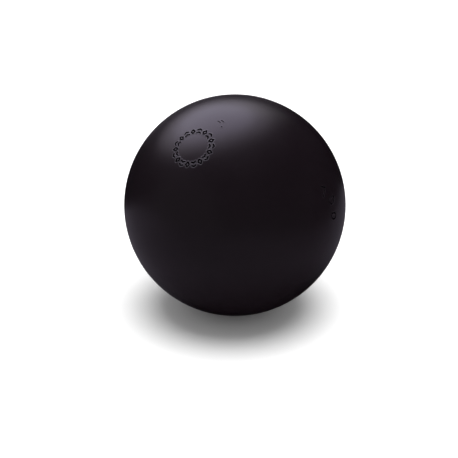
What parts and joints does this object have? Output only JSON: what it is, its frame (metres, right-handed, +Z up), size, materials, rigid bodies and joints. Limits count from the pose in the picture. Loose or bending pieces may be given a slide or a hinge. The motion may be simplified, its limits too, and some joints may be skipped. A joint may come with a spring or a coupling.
{
  "type": "steel boule",
  "caption": "Hollow steel boule for petanque: two half shells welded at the equator and turned to a true sphere, satin black, with a stamped ornament ring and weight mark.",
  "frame": {"origin": "centre of the ball, which is also the centre of the hollow inside it", "axes": "+Z is up and is the axis that the two half shells and the weld turn about, so the weld lies on the equator. -Y is the front: the stamped ring stands at the upper left of it, and the weight mark at the right, near the equator"},
  "size_m": [0.074, 0.074, 0.074],
  "materials": {
    "blackened_steel": "satin",
    "weld_steel": "satin"
  },
  "bodies": {
    "root": {"upper_half_shell": "blackened_steel", "lower_half_shell": "blackened_steel", "weld_ring": "weld_steel"}
  },
  "joints": []
}
